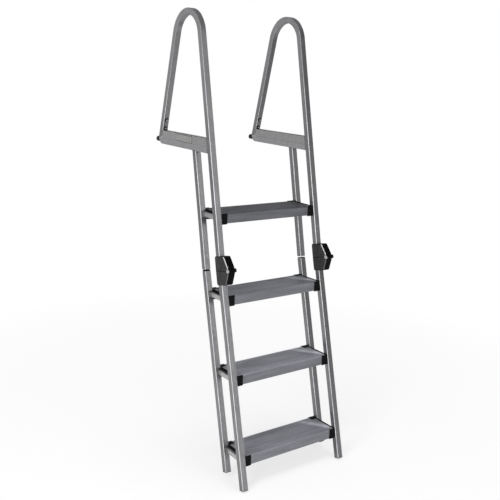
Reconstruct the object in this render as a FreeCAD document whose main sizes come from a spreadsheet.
import FreeCAD, Part
import math
import os

import Sketcher

# Aluminium dock ladder with a fold-up lower section, in millimetres and degrees
# The left side frame stands on X = 0 and the right one on X = frame_spacing
# The climber stands on the -Y side, the dock deck lies on the +Y side at Z = 0
# The origin is the middle of the left arm's flat underside, which rests on the deck

DRIVING_SIZES = [
    # square tube that all four rails, the hoops and the arms are made of
    ("tube_width", 25.4),
    ("tube_wall", 2.0),
    ("tube_corner", 2.5),
    # the two side frames
    ("frame_spacing", 482.6),
    ("rail_spacing", 114.6),
    ("rail_lean_angle", 12.2),
    ("rail_drop", 449.0),
    # the hoop, its rear leg and the arm on the deck
    ("leg_lean_angle", 14.3),
    ("leg_reach", 412.0),
    ("arch_radius", 100.0),
    ("return_radius", 17.2),
    ("arm_bar_height", 33.0),
    ("weld_seat", 0.5),
    # lower rails, measured down from the hinge split
    ("front_foot_length", 850.0),
    ("rear_foot_length", 803.0),
    # treads
    ("first_tread_drop", 226.0),
    ("hinge_step", 308.0),
    ("step_pitch", 304.8),
    ("tread_depth", 146.0),
    ("tread_height", 38.1),
    ("tread_wall", 2.5),
    ("tread_lip", 9.0),
    ("rib_height", 1.0),
    ("rib_width", 2.4),
    ("rib_pitch", 6.0),
    # moulded caps on the tread ends
    ("cap_plate", 3.0),
    ("cap_wrap", 2.0),
    ("cap_wrap_length", 25.4),
    ("cap_front_hook", 4.0),
    ("cap_rear_hook", 27.0),
    ("cap_rim", 1.5),
    ("cap_foot", 3.4),
    ("cap_corner", 4.0),
    ("cap_front_foot", 24.0),
    ("cap_waist", 3.0),
    # cross bars between the front and rear rail
    ("bar_width", 12.7),
    ("bar_height", 19.0),
    ("bar_drop", 8.5),
    ("bar_edge", 1.5),
    # fold hinges
    ("hinge_wall", 4.3),
    ("hinge_height", 55.0),
    ("hinge_reach", 74.0),
    ("hinge_shoulder", 47.0),
    ("hinge_nose", 3.0),
    ("hinge_nose_height", 12.0),
    ("hinge_corner", 7.0),
    ("hinge_edge", 4.5),
    ("barrel_radius", 8.0),
    ("knuckle_width", 14.0),
    ("pin_radius", 4.0),
    ("pin_head_radius", 8.0),
    ("pin_head_height", 2.5),
    ("pin_washer_radius", 6.0),
    ("pin_washer_height", 1.0),
    ("hang_angle", 2.2),
    # bumpers and foot plugs
    ("bumper_radius", 11.0),
    ("bumper_length", 26.0),
    ("bumper_height", 18.0),
    ("plug_flange", 2.0),
    ("plug_stem", 22.0),
    # fits
    ("seat_gap", 0.3),
    ("slide_gap", 0.15),
    ("pin_gap", 0.08),
    ("turn_gap", 0.5),
]


class Measure:
    """A length or angle: its number, and the formula on the sheet that gives it."""

    def __init__(self, value, text):
        self.value = value
        self.text = text

    def __add__(self, other):
        other = measure(other)
        return Measure(self.value + other.value, f"({self.text} + {other.text})")

    def __sub__(self, other):
        other = measure(other)
        return Measure(self.value - other.value, f"({self.text} - {other.text})")

    def __mul__(self, other):
        other = measure(other)
        return Measure(self.value * other.value, f"({self.text} * {other.text})")

    def __truediv__(self, other):
        other = measure(other)
        return Measure(self.value / other.value, f"({self.text} / {other.text})")

    def __neg__(self):
        return Measure(-self.value, f"(0 - {self.text})")

    __radd__ = __add__
    __rmul__ = __mul__

    def __rsub__(self, other):
        return measure(other) - self


def measure(number):
    """Gives a plain number the form of a Measure."""
    return number if isinstance(number, Measure) else Measure(float(number), repr(number))


def cosine(angle):
    return Measure(math.cos(math.radians(angle.value)), f"cos({angle.text})")


def sine(angle):
    return Measure(math.sin(math.radians(angle.value)), f"sin({angle.text})")


def tangent(angle):
    return Measure(math.tan(math.radians(angle.value)), f"tan({angle.text})")


doc = FreeCAD.newDocument("DockLadder")
sheet = doc.addObject("Spreadsheet::Sheet", "Sizes")
SIZE = {}
for row, (alias, number) in enumerate(DRIVING_SIZES, start=1):
    sheet.set(f"A{row}", alias)
    sheet.set(f"B{row}", str(number))
    sheet.setAlias(f"B{row}", alias)
    SIZE[alias] = Measure(number, f"Sizes.{alias}")
doc.recompute()

ZERO = measure(0)
LEAN = SIZE["rail_lean_angle"]
HALF_TUBE = SIZE["tube_width"] / 2
SUB_PARTS = []
# how far an edge may stray from a plane and still count as lying in it
EDGE_TOLERANCE = 0.001


# Sketches and features

def origin_plane(body, role):
    return next(feature for feature in body.Origin.OriginFeatures if feature.Role == role)


def new_body(name):
    """A sub-part: its label names its file."""
    body = doc.addObject("PartDesign::Body", name)
    body.Label = name
    SUB_PARTS.append(body)
    return body


def new_sketch(body, name, role):
    """A sketch on one of the body's own origin planes."""
    sketch = body.newObject("Sketcher::SketchObject", f"{body.Name}_{name}")
    sketch.AttachmentSupport = [(origin_plane(body, role), "")]
    sketch.MapMode = "FlatFace"
    return sketch


def pin_point(sketch, geometry, end, across, up):
    """Holds one point of a sketch at a place worked out from the sheet."""
    for kind, axis, size in (("DistanceX", -2, across), ("DistanceY", -1, up)):
        if size.text == "0":
            sketch.addConstraint(Sketcher.Constraint("PointOnObject", geometry, end, axis))
            continue
        index = sketch.addConstraint(Sketcher.Constraint(kind, -1, 1, geometry, end, size.value))
        sketch.setExpression(f"Constraints[{index}]", size.text)


def corner_tangents(before, corner, after, radius):
    """Where a round corner of this radius touches its two straight sides, and its centre."""
    point = FreeCAD.Vector(corner[0].value, corner[1].value, 0)
    back = FreeCAD.Vector(before[0].value, before[1].value, 0).sub(point).normalize()
    ahead = FreeCAD.Vector(after[0].value, after[1].value, 0).sub(point).normalize()
    half = back.getAngle(ahead) / 2
    reach = radius / math.tan(half)
    start = point.add(FreeCAD.Vector(back).multiply(reach))
    end = point.add(FreeCAD.Vector(ahead).multiply(reach))
    middle = FreeCAD.Vector(back.add(ahead)).normalize().multiply(radius / math.sin(half))
    return start, end, point.add(middle)


def outline(sketch, corners, closed=True):
    """Draws straight sides between corners (across, up, radius), and rounds those with a radius."""
    count = len(corners)
    starts, ends, arcs = [], [], {}
    for index, corner in enumerate(corners):
        if corner[2] is None:
            point = FreeCAD.Vector(corner[0].value, corner[1].value, 0)
            starts.append(point)
            ends.append(point)
            continue
        before, after = corners[index - 1], corners[(index + 1) % count]
        start, end, centre = corner_tangents(before, corner, after, corner[2].value)
        starts.append(start)
        ends.append(end)
        arcs[index] = (start, end, centre)
    sides = count if closed else count - 1
    lines = []
    for index in range(sides):
        following = (index + 1) % count
        lines.append(sketch.addGeometry(Part.LineSegment(ends[index], starts[following])))
    for index, corner in enumerate(corners):
        across, up, radius = corner
        line_out = lines[index] if index < sides else None
        line_in = lines[index - 1] if closed or index > 0 else None
        if radius is None:
            if line_out is None:
                pin_point(sketch, line_in, 2, across, up)
                continue
            pin_point(sketch, line_out, 1, across, up)
            if line_in is not None:
                sketch.addConstraint(Sketcher.Constraint("Coincident", line_in, 2, line_out, 1))
            continue
        start, end, centre = arcs[index]
        first = math.atan2(start.y - centre.y, start.x - centre.x)
        last = math.atan2(end.y - centre.y, end.x - centre.x)
        turn = (last - first) % (2 * math.pi)
        counter = turn < math.pi
        if not counter:
            first, last = last, first
        circle = Part.Circle(centre, FreeCAD.Vector(0, 0, 1), radius.value)
        arc = sketch.addGeometry(Part.ArcOfCircle(circle, first, last))
        arc_start, arc_end = (1, 2) if counter else (2, 1)
        sketch.addConstraint(Sketcher.Constraint("Tangent", line_in, 2, arc, arc_start))
        sketch.addConstraint(Sketcher.Constraint("Tangent", line_out, 1, arc, arc_end))
        bound = sketch.addConstraint(Sketcher.Constraint("Radius", arc, radius.value))
        sketch.setExpression(f"Constraints[{bound}]", radius.text)
        mark = sketch.addGeometry(Part.Point(FreeCAD.Vector(across.value, up.value, 0)), True)
        pin_point(sketch, mark, 1, across, up)
        sketch.addConstraint(Sketcher.Constraint("PointOnObject", mark, 1, line_in))
        sketch.addConstraint(Sketcher.Constraint("PointOnObject", mark, 1, line_out))
    return sketch


def rectangle(sketch, left, right, bottom, top, radius=None):
    corners = [(left, bottom, radius), (right, bottom, radius), (right, top, radius), (left, top, radius)]
    return outline(sketch, corners)


def circle(sketch, across, up, radius):
    centre = FreeCAD.Vector(across.value, up.value, 0)
    ring = sketch.addGeometry(Part.Circle(centre, FreeCAD.Vector(0, 0, 1), radius.value))
    pin_point(sketch, ring, 3, across, up)
    bound = sketch.addConstraint(Sketcher.Constraint("Radius", ring, radius.value))
    sketch.setExpression(f"Constraints[{bound}]", radius.text)
    return sketch


def pad(body, name, sketch, length, symmetric=False, reverse=False):
    feature = body.newObject("PartDesign::Pad", f"{body.Name}_{name}")
    feature.Profile = sketch
    feature.Length = length.value
    feature.setExpression("Length", length.text)
    feature.SideType = "Symmetric" if symmetric else "One side"
    feature.Reversed = reverse
    doc.recompute()
    return feature


def cut(body, name, sketch, length, symmetric=True, reverse=False):
    """A pocket that has to take material away."""
    before = body.Shape.Volume
    feature = body.newObject("PartDesign::Pocket", f"{body.Name}_{name}")
    feature.Profile = sketch
    feature.Type = "Length"
    feature.Length = length.value
    feature.setExpression("Length", length.text)
    feature.SideType = "Symmetric" if symmetric else "One side"
    feature.Reversed = reverse
    doc.recompute()
    if not body.Shape.Volume < before:
        raise RuntimeError(f"{body.Label}: {name} takes nothing away")
    return feature


def round_edges(body, name, feature, radius, chosen):
    """Rounds those edges of a feature's shape for which chosen says yes to their box."""
    names = []
    for number, edge in enumerate(feature.Shape.Edges, start=1):
        if chosen(edge.BoundBox):
            names.append(f"Edge{number}")
    fillet = body.newObject("PartDesign::Fillet", f"{body.Name}_{name}")
    fillet.Base = (feature, names)
    fillet.Radius = radius.value
    fillet.setExpression("Radius", radius.text)
    doc.recompute()
    return fillet


def flat(length):
    """Says that one side of an edge's box has no length to speak of."""
    return length < EDGE_TOLERANCE


def place(body, across, back, up, angle=None):
    """Puts a sub-part at its place, turned about X by an angle that is worked out on the sheet."""
    turn = FreeCAD.Rotation(FreeCAD.Vector(1, 0, 0), angle.value) if angle else FreeCAD.Rotation()
    body.Placement = FreeCAD.Placement(FreeCAD.Vector(across.value, back.value, up.value), turn)
    body.setExpression("Placement.Base.x", across.text)
    body.setExpression("Placement.Base.y", back.text)
    body.setExpression("Placement.Base.z", up.text)
    if angle:
        body.setExpression("Placement.Rotation.Angle", angle.text)


# Places on the ladder, worked out from the driving sizes

# along the deck, from the front rail's axis to the rear leg's axis and the bend below it
BEND_HEIGHT = HALF_TUBE + SIZE["return_radius"]
BEND_REACH = (
    SIZE["leg_reach"]
    - BEND_HEIGHT * tangent(SIZE["leg_lean_angle"])
    - SIZE["return_radius"] / cosine(SIZE["leg_lean_angle"])
)
RAIL_BACK_AT_DECK = HALF_TUBE / cosine(LEAN)
# the origin lies in the middle of the flat stretch between the front rail and the bend
FRONT_REACH = (RAIL_BACK_AT_DECK + BEND_REACH) / 2
# the hinge split on the front rail's axis
SPLIT_BACK = -FRONT_REACH - SIZE["rail_drop"] * sine(LEAN)
SPLIT_UP = -(SIZE["rail_drop"] * cosine(LEAN))
LOWER_TURN = LEAN + SIZE["hang_angle"]


def on_upper(along_back, along_up):
    """Level place of a point given square to and along the upper rails, from the split."""
    back = SPLIT_BACK + along_back * cosine(LEAN) + along_up * sine(LEAN)
    up = SPLIT_UP - along_back * sine(LEAN) + along_up * cosine(LEAN)
    return back, up


PIVOT_BACK, PIVOT_UP = on_upper(-SIZE["hinge_reach"], ZERO)


def on_lower(along_back, along_up):
    """The same for the lower section, which hangs a little forward of its closed place."""
    from_pivot = along_back + SIZE["hinge_reach"]
    back = PIVOT_BACK + from_pivot * cosine(LOWER_TURN) + along_up * sine(LOWER_TURN)
    up = PIVOT_UP - from_pivot * sine(LOWER_TURN) + along_up * cosine(LOWER_TURN)
    return back, up


def tread_up(drop):
    """How far above the split, along the rail's front face, a level at this depth lies."""
    return SIZE["rail_drop"] - drop / cosine(LEAN) - HALF_TUBE * tangent(LEAN)


SIDES = (("left", ZERO), ("right", SIZE["frame_spacing"]))


# Square tube

def tube_section(body, name, role, centre_up=ZERO):
    """The ring of the tube's wall."""
    sketch = new_sketch(body, name, role)
    corner, wall = SIZE["tube_corner"], SIZE["tube_wall"]
    low, high = centre_up - HALF_TUBE, centre_up + HALF_TUBE
    rectangle(sketch, -HALF_TUBE, HALF_TUBE, low, high, corner)
    rectangle(sketch, wall - HALF_TUBE, HALF_TUBE - wall, low + wall, high - wall, corner - wall)
    return sketch


def straight_tube(name, length, down=False):
    body = new_body(name)
    pad(body, "Tube", tube_section(body, "Section", "XY_Plane"), length, reverse=down)
    return body


def rear_rail_span(up):
    """Where the rear rail's front and rear face lie along the deck at this height."""
    middle = SIZE["rail_spacing"] / cosine(LEAN) - FRONT_REACH + up * tangent(LEAN)
    half = HALF_TUBE / cosine(LEAN)
    return middle - half, middle + half


# Hoops: the front rail, the arch, the rear leg and the return along the deck are one bent tube

def make_handrail(side, across):
    body = new_body(f"{side}_handrail")
    # the return's front half, mitred where it is welded to the front rail
    return_end = tube_section(body, "ReturnSection", "XZ_Plane", HALF_TUBE)
    pad(body, "Return", return_end, FRONT_REACH)
    trim = new_sketch(body, "Trim", "YZ_Plane")
    weld_back = (HALF_TUBE - SIZE["tube_wall"] / 2) / cosine(LEAN) - FRONT_REACH
    low, high = -SIZE["tube_width"], SIZE["tube_width"] * 2
    outline(trim, [
        (-FRONT_REACH * 2, low, None),
        (weld_back + low * tangent(LEAN), low, None),
        (weld_back + high * tangent(LEAN), high, None),
        (-FRONT_REACH * 2, high, None),
    ])
    cut(body, "TrimCut", trim, SIZE["tube_width"] * 2)
    # the rear rail's top is let into the underside by the depth of its weld
    notch = new_sketch(body, "Notch", "YZ_Plane")
    seat = SIZE["weld_seat"]
    near, far = rear_rail_span(ZERO)
    slant = seat * tangent(LEAN)
    outline(notch, [
        (near - slant, -seat, None),
        (far - slant, -seat, None),
        (far + slant, seat, None),
        (near + slant, seat, None),
    ])
    cut(body, "NotchCut", notch, SIZE["tube_width"] * 2)
    # from the middle of the return round both bends and down to the hinge split
    section = tube_section(body, "Section", "XZ_Plane", HALF_TUBE)
    top_up = SIZE["leg_reach"] / (tangent(LEAN) + tangent(SIZE["leg_lean_angle"]))
    low_back = SIZE["leg_reach"] - HALF_TUBE * tangent(SIZE["leg_lean_angle"]) - FRONT_REACH
    path = new_sketch(body, "Path", "YZ_Plane")
    outline(path, [
        (ZERO, HALF_TUBE, None),
        (low_back, HALF_TUBE, SIZE["return_radius"]),
        (top_up * tangent(LEAN) - FRONT_REACH, top_up, SIZE["arch_radius"]),
        (SPLIT_BACK, SPLIT_UP, None),
    ], closed=False)
    pipe = body.newObject("PartDesign::AdditivePipe", f"{body.Name}_Bend")
    pipe.Profile = section
    pipe.Spine = (path, [])
    pipe.Mode = "Standard"
    doc.recompute()
    place(body, across, ZERO, ZERO)
    return body


def make_frames():
    for side, across in SIDES:
        make_handrail(side, across)


# Straight rails

def make_rear_rail(side, across):
    """The upper rear rail stands under the arm, and its top is cut level."""
    spacing = SIZE["rail_spacing"]
    axis_up = SIZE["rail_drop"] + spacing * tangent(LEAN) + SIZE["weld_seat"] / cosine(LEAN)
    body = straight_tube(f"{side}_rear_rail_upper", axis_up + SIZE["tube_width"])
    trim = new_sketch(body, "Trim", "YZ_Plane")
    drop = SIZE["tube_width"] * tangent(LEAN)
    reach = SIZE["tube_width"]
    top = axis_up + SIZE["tube_width"] * 2
    outline(trim, [
        (-reach, axis_up - drop, None),
        (reach, axis_up + drop, None),
        (reach, top, None),
        (-reach, top, None),
    ])
    cut(body, "TrimCut", trim, SIZE["tube_width"] * 2)
    back, up = on_upper(spacing, ZERO)
    place(body, across, back, up, -LEAN)


def make_lower_rails(side, across):
    gap = SIZE["seat_gap"]
    lengths = (
        ("front", ZERO, SIZE["front_foot_length"]),
        ("rear", SIZE["rail_spacing"], SIZE["rear_foot_length"]),
    )
    for place_name, along_back, length in lengths:
        body = straight_tube(f"{side}_{place_name}_rail_lower", length - gap, down=True)
        back, up = on_lower(along_back, -gap)
        place(body, across, back, up, -LOWER_TURN)
        make_foot_plug(side, across, place_name, along_back, length)


def make_foot_plug(side, across, place_name, along_back, length):
    """A push-in plug: a flange on the tube's end and a stem inside its wall."""
    body = new_body(f"{side}_{place_name}_foot_plug")
    half = HALF_TUBE
    flange = new_sketch(body, "Flange", "XY_Plane")
    rectangle(flange, -half, half, -half, half, SIZE["tube_corner"])
    pad(body, "FlangePad", flange, SIZE["plug_flange"], reverse=True)
    stem = new_sketch(body, "Stem", "XY_Plane")
    inner = half - SIZE["tube_wall"] - SIZE["slide_gap"]
    rectangle(stem, -inner, inner, -inner, inner, SIZE["tube_corner"] - SIZE["tube_wall"])
    pad(body, "StemPad", stem, SIZE["plug_stem"])
    back, up = on_lower(along_back, -length)
    place(body, across, back, up, -LOWER_TURN)


# Arms: a bar on top of the return, between the front rail and the rear leg

def make_arm_bar(side, across):
    body = new_body(f"{side}_arm_bar")
    low, high = SIZE["tube_width"], SIZE["tube_width"] + SIZE["arm_bar_height"]
    rail_back = RAIL_BACK_AT_DECK - FRONT_REACH
    leg_front = SIZE["leg_reach"] - FRONT_REACH - HALF_TUBE / cosine(SIZE["leg_lean_angle"])
    side_view = new_sketch(body, "SideView", "YZ_Plane")
    rail_slope, leg_slope = tangent(LEAN), tangent(SIZE["leg_lean_angle"])
    # the corner that lies in the return's bend is rounded a little more than the bend
    bend_corner = SIZE["return_radius"] - HALF_TUBE + SIZE["seat_gap"]
    outline(side_view, [
        (rail_back + low * rail_slope, low, None),
        (leg_front - low * leg_slope, low, bend_corner),
        (leg_front - high * leg_slope, high, None),
        (rail_back + high * rail_slope, high, None),
    ])
    bar = pad(body, "Bar", side_view, SIZE["tube_width"], symmetric=True)
    round_edges(body, "TopRounding", bar, SIZE["tube_corner"], lambda box: (
        flat(box.XLength) and flat(box.ZLength) and flat(high.value - box.ZMin)))
    hollow = new_sketch(body, "Hollow", "XZ_Plane")
    wall = SIZE["tube_wall"]
    rectangle(hollow, wall - HALF_TUBE, HALF_TUBE - wall, low + wall, high - wall,
              SIZE["tube_corner"] - wall)
    cut(body, "HollowCut", hollow, SIZE["leg_reach"] * 2)
    place(body, across, ZERO, ZERO)


# Treads: a ribbed channel on each step, with a moulded cap on each end

def make_tread(number, back, up, angle):
    body = new_body(f"tread_{number}")
    wall, wrap = SIZE["tread_wall"], SIZE["cap_wrap"]
    front, rear = wrap, SIZE["tread_depth"] - wrap
    bottom, lip = -SIZE["cap_rim"] - SIZE["tread_height"], SIZE["tread_lip"]
    top = -SIZE["cap_rim"] - SIZE["rib_height"]
    section = new_sketch(body, "Section", "YZ_Plane")
    outline(section, [
        (front, top, wall),
        (front, bottom, wall),
        (front + lip, bottom, None),
        (front + lip, bottom + wall, None),
        (front + wall, bottom + wall, None),
        (front + wall, top - wall, None),
        (rear - wall, top - wall, None),
        (rear - wall, bottom + wall, None),
        (rear - lip, bottom + wall, None),
        (rear - lip, bottom, None),
        (rear, bottom, wall),
        (rear, top, wall),
    ])
    length = SIZE["frame_spacing"] - SIZE["tube_width"] - SIZE["cap_plate"] * 2
    pad(body, "Channel", section, length, symmetric=True)
    rib = new_sketch(body, "Rib", "YZ_Plane")
    first = front + SIZE["rib_pitch"]
    rectangle(rib, first, first + SIZE["rib_width"], top - wall / 2, top + SIZE["rib_height"])
    rib_pad = pad(body, "RibPad", rib, length, symmetric=True)
    room = rear - front - SIZE["rib_pitch"] * 2 - SIZE["rib_width"]
    count = int(room.value / SIZE["rib_pitch"].value) + 1
    ribs = body.newObject("PartDesign::LinearPattern", f"{body.Name}_Ribs")
    ribs.Originals = [rib_pad]
    ribs.Direction = (rib, ["H_Axis"])
    ribs.Length = SIZE["rib_pitch"].value * (count - 1)
    ribs.setExpression("Length", (SIZE["rib_pitch"] * (count - 1)).text)
    ribs.Occurrences = count
    body.Tip = ribs
    doc.recompute()
    place(body, SIZE["frame_spacing"] / 2, back, up, angle)


def make_tread_cap(number, side, across, inward, back, up, angle):
    """A plate on the tread's end, with a flange round it that hooks over the front and rear edge."""
    body = new_body(f"tread_{number}_cap_{side}")
    depth, rim, gap = SIZE["tread_depth"], SIZE["cap_rim"], SIZE["slide_gap"]
    tread_low = -rim - SIZE["tread_height"]
    low = tread_low - SIZE["cap_foot"]
    plate = new_sketch(body, "Plate", "YZ_Plane")
    rectangle(plate, ZERO, depth, low, ZERO, SIZE["cap_corner"])
    pad(body, "PlatePad", plate, SIZE["cap_plate"], reverse=inward < 0)
    flange = new_sketch(body, "Flange", "YZ_Plane")
    inside = SIZE["cap_wrap"] - gap
    rectangle(flange, ZERO, depth, low, ZERO, SIZE["cap_corner"])
    rectangle(flange, inside, depth - inside, tread_low - gap, -rim, SIZE["tread_wall"])
    reach = SIZE["cap_plate"] + SIZE["cap_wrap_length"]
    pad(body, "FlangePad", flange, reach, reverse=inward < 0)
    # the flange is open above and below between its two hooks
    window = new_sketch(body, "Window", "YZ_Plane")
    window.AttachmentOffset = FreeCAD.Placement(
        FreeCAD.Vector(0, 0, SIZE["cap_plate"].value * inward), FreeCAD.Rotation())
    window.setExpression("AttachmentOffset.Base.z", (SIZE["cap_plate"] * inward).text)
    front, rear = SIZE["cap_front_hook"], depth - SIZE["cap_rear_hook"]
    rectangle(window, front, rear, low - rim, rim)
    cut(body, "WindowCut", window, reach, symmetric=False, reverse=inward > 0)
    # between its front and rear foot the plate ends a little below the cross bar
    waist = new_sketch(body, "Waist", "YZ_Plane")
    foot, corner = SIZE["cap_front_foot"], SIZE["cap_corner"]
    waist_up = -(SIZE["bar_drop"] + SIZE["bar_height"] + SIZE["cap_waist"])
    outline(waist, [
        (foot, low - rim, None),
        (rear, low - rim, None),
        (rear, waist_up, corner),
        (foot, waist_up, corner),
    ])
    cut(body, "WaistCut", waist, reach, symmetric=False, reverse=inward > 0)
    place(body, across, back, up, angle)


def make_cross_bar(number, side, across, inward, back, up, angle):
    """A bar between the front and the rear rail, flush with their inner faces, that the cap is fixed to."""
    body = new_body(f"tread_{number}_bar_{side}")
    top = -SIZE["bar_drop"]
    low = top - SIZE["bar_height"]
    near = SIZE["tube_width"] / cosine(LEAN)
    far = SIZE["rail_spacing"] / cosine(LEAN)
    lean = tangent(LEAN)
    side_view = new_sketch(body, "SideView", "YZ_Plane")
    outline(side_view, [
        (near + low * lean, low, None),
        (far + low * lean, low, None),
        (far + top * lean, top, None),
        (near + top * lean, top, None),
    ])
    bar = pad(body, "Bar", side_view, SIZE["bar_width"], reverse=inward > 0)
    round_edges(body, "Rounding", bar, SIZE["bar_edge"],
                lambda box: flat(box.XLength) and flat(box.ZLength))
    hollow = new_sketch(body, "Hollow", "XZ_Plane")
    wall, corner = SIZE["tube_wall"], SIZE["tube_corner"] - SIZE["tube_wall"]
    edges = (-wall * inward, (wall - SIZE["bar_width"]) * inward)
    left, right = sorted(edges, key=lambda edge: edge.value)
    rectangle(hollow, left, right, low + wall, top - wall, corner)
    cut(body, "HollowCut", hollow, SIZE["rail_spacing"] * 3)
    place(body, across, back, up, angle)


def make_steps():
    drops = [SIZE["first_tread_drop"], SIZE["first_tread_drop"] + SIZE["hinge_step"]]
    drops.append(drops[-1] + SIZE["step_pitch"])
    drops.append(drops[-1] + SIZE["step_pitch"])
    for number, drop in enumerate(drops, start=1):
        on_section = on_upper if number == 1 else on_lower
        angle = None if number == 1 else -SIZE["hang_angle"]
        back, up = on_section(-HALF_TUBE, tread_up(drop))
        make_tread(number, back, up, angle)
        for side, across in SIDES:
            inward = 1 if side == "left" else -1
            end = across + HALF_TUBE * inward
            make_tread_cap(number, side, end, inward, back, up, angle)
            make_cross_bar(number, side, end, inward, back, up, angle)


# Fold hinges: two moulded halves round the front rail and a pin through their knuckles

def housing_side(sketch, upward):
    """The side view of one half, from the split to its far end; upward is 1 or -1."""
    split = SIZE["seat_gap"] * upward
    far = SIZE["hinge_height"] * upward
    back = HALF_TUBE + SIZE["hinge_wall"]
    # the front edge stays behind the pivot, so that the halves can fold flat against each other
    front = SIZE["hinge_nose"] - SIZE["hinge_reach"]
    outline(sketch, [
        (front, split, None),
        (back, split, None),
        (back, far, SIZE["hinge_corner"]),
        (-SIZE["hinge_shoulder"], far, SIZE["hinge_corner"]),
        (front, SIZE["hinge_nose_height"] * upward, SIZE["hinge_corner"]),
    ])


def make_hinge_half(side, across, half_name, upward, on_section, angle):
    body = new_body(f"{side}_hinge_{half_name}")
    width = SIZE["tube_width"] + SIZE["hinge_wall"] * 2
    side_view = new_sketch(body, "SideView", "YZ_Plane")
    housing_side(side_view, upward)
    housing = pad(body, "Housing", side_view, width, symmetric=True)
    # both sides' rims are rounded, all the way from the split over the far end and back
    split = (SIZE["seat_gap"] * upward).value
    round_edges(body, "RimRounding", housing, SIZE["hinge_edge"], lambda box: (
        flat(box.XLength) and not (flat(box.ZLength) and flat(abs(box.ZMin - split)))))
    barrel = new_sketch(body, "Barrel", "YZ_Plane")
    circle(barrel, -SIZE["hinge_reach"], ZERO, SIZE["barrel_radius"])
    knuckle = SIZE["knuckle_width"]
    barrel_width = width if upward > 0 else knuckle
    pad(body, "BarrelPad", barrel, barrel_width, symmetric=True)
    turning = SIZE["barrel_radius"] + SIZE["turn_gap"]
    clear = new_sketch(body, "Clear", "YZ_Plane")
    circle(clear, -SIZE["hinge_reach"], ZERO, turning)
    if upward > 0:
        cut(body, "ClearCut", clear, knuckle + SIZE["turn_gap"] * 2)
    else:
        cheek = (width - knuckle) / 2
        for name, start in (("ClearLeft", -width / 2), ("ClearRight", knuckle / 2)):
            notch = new_sketch(body, name, "YZ_Plane")
            notch.AttachmentOffset = FreeCAD.Placement(
                FreeCAD.Vector(0, 0, start.value), FreeCAD.Rotation())
            notch.setExpression("AttachmentOffset.Base.z", start.text)
            circle(notch, -SIZE["hinge_reach"], ZERO, turning)
            cut(body, f"{name}Cut", notch, cheek, symmetric=False, reverse=True)
    hole = new_sketch(body, "PinHole", "YZ_Plane")
    circle(hole, -SIZE["hinge_reach"], ZERO, SIZE["pin_radius"] + SIZE["pin_gap"])
    cut(body, "PinHoleCut", hole, width * 2)
    bore = new_sketch(body, "RailBore", "XY_Plane")
    reach = HALF_TUBE + SIZE["slide_gap"]
    rectangle(bore, -reach, reach, -reach, reach, SIZE["tube_corner"])
    cut(body, "RailBoreCut", bore, SIZE["hinge_height"] * 3)
    back, up = on_section(ZERO, ZERO)
    place(body, across, back, up, angle)


def make_hinge_pin(side, across):
    """A pin with a broad head on its left end and a push-on washer on its right end."""
    body = new_body(f"{side}_hinge_pin")
    cheek = SIZE["tube_width"] / 2 + SIZE["hinge_wall"] + SIZE["seat_gap"]
    head_start = -(cheek + SIZE["pin_head_height"])
    rings = (
        ("Shank", head_start, SIZE["pin_radius"], cheek - head_start + SIZE["pin_washer_height"]),
        ("Head", head_start, SIZE["pin_head_radius"], SIZE["pin_head_height"]),
        ("Washer", cheek, SIZE["pin_washer_radius"], SIZE["pin_washer_height"]),
    )
    for name, start, radius, length in rings:
        ring = new_sketch(body, name, "YZ_Plane")
        ring.AttachmentOffset = FreeCAD.Placement(
            FreeCAD.Vector(0, 0, start.value), FreeCAD.Rotation())
        ring.setExpression("AttachmentOffset.Base.z", start.text)
        circle(ring, ZERO, ZERO, radius)
        pad(body, f"{name}Pad", ring, length)
    place(body, across, PIVOT_BACK, PIVOT_UP, -LEAN)


def make_hinges():
    for side, across in SIDES:
        make_hinge_half(side, across, "upper", 1, on_upper, -LEAN)
        make_hinge_half(side, across, "lower", -1, on_lower, -LOWER_TURN)
        make_hinge_pin(side, across)


# Bumpers on the rear of the arms

def make_bumper(side, across):
    body = new_body(f"{side}_bumper")
    height = SIZE["bumper_height"]
    centre_back = BEND_REACH - FRONT_REACH
    outer = SIZE["return_radius"] + HALF_TUBE
    disc = new_sketch(body, "Disc", "XZ_Plane")
    circle(disc, ZERO, height, SIZE["bumper_radius"])
    end = centre_back + outer + SIZE["bumper_length"]
    pad(body, "Knob", disc, end, reverse=True)
    free = new_sketch(body, "Free", "YZ_Plane")
    rectangle(free, -outer, centre_back, -outer, BEND_HEIGHT + outer)
    cut(body, "FreeCut", free, SIZE["tube_width"] * 2)
    seat = new_sketch(body, "Seat", "YZ_Plane")
    circle(seat, centre_back, BEND_HEIGHT, outer + SIZE["seat_gap"])
    cut(body, "SeatCut", seat, SIZE["tube_width"] * 2)
    place(body, across, ZERO, ZERO)


# The whole ladder

def check_document():
    """Stops if any object failed or any sub-part's shape is missing or not valid."""
    for item in doc.Objects:
        if any(word in item.State for word in ("Invalid", "Error")):
            raise RuntimeError(f"{item.Label} failed: {item.State}")
    for body in SUB_PARTS:
        shape = body.Shape
        if shape.isNull() or not shape.isValid() or shape.Volume <= 0:
            raise RuntimeError(f"{body.Label} has no valid shape")
        if len(shape.Solids) != 1:
            raise RuntimeError(f"{body.Label} is in {len(shape.Solids)} solids")


def write_parts():
    os.makedirs("parts", exist_ok=True)
    for body in SUB_PARTS:
        body.Shape.exportStep(os.path.join("parts", f"{body.Label}.step"))


make_frames()
for side, across in SIDES:
    make_rear_rail(side, across)
    make_lower_rails(side, across)
    make_arm_bar(side, across)
    make_bumper(side, across)
make_steps()
make_hinges()
doc.recompute()
check_document()
write_parts()
print(f"{len(SUB_PARTS)} sub-parts written")
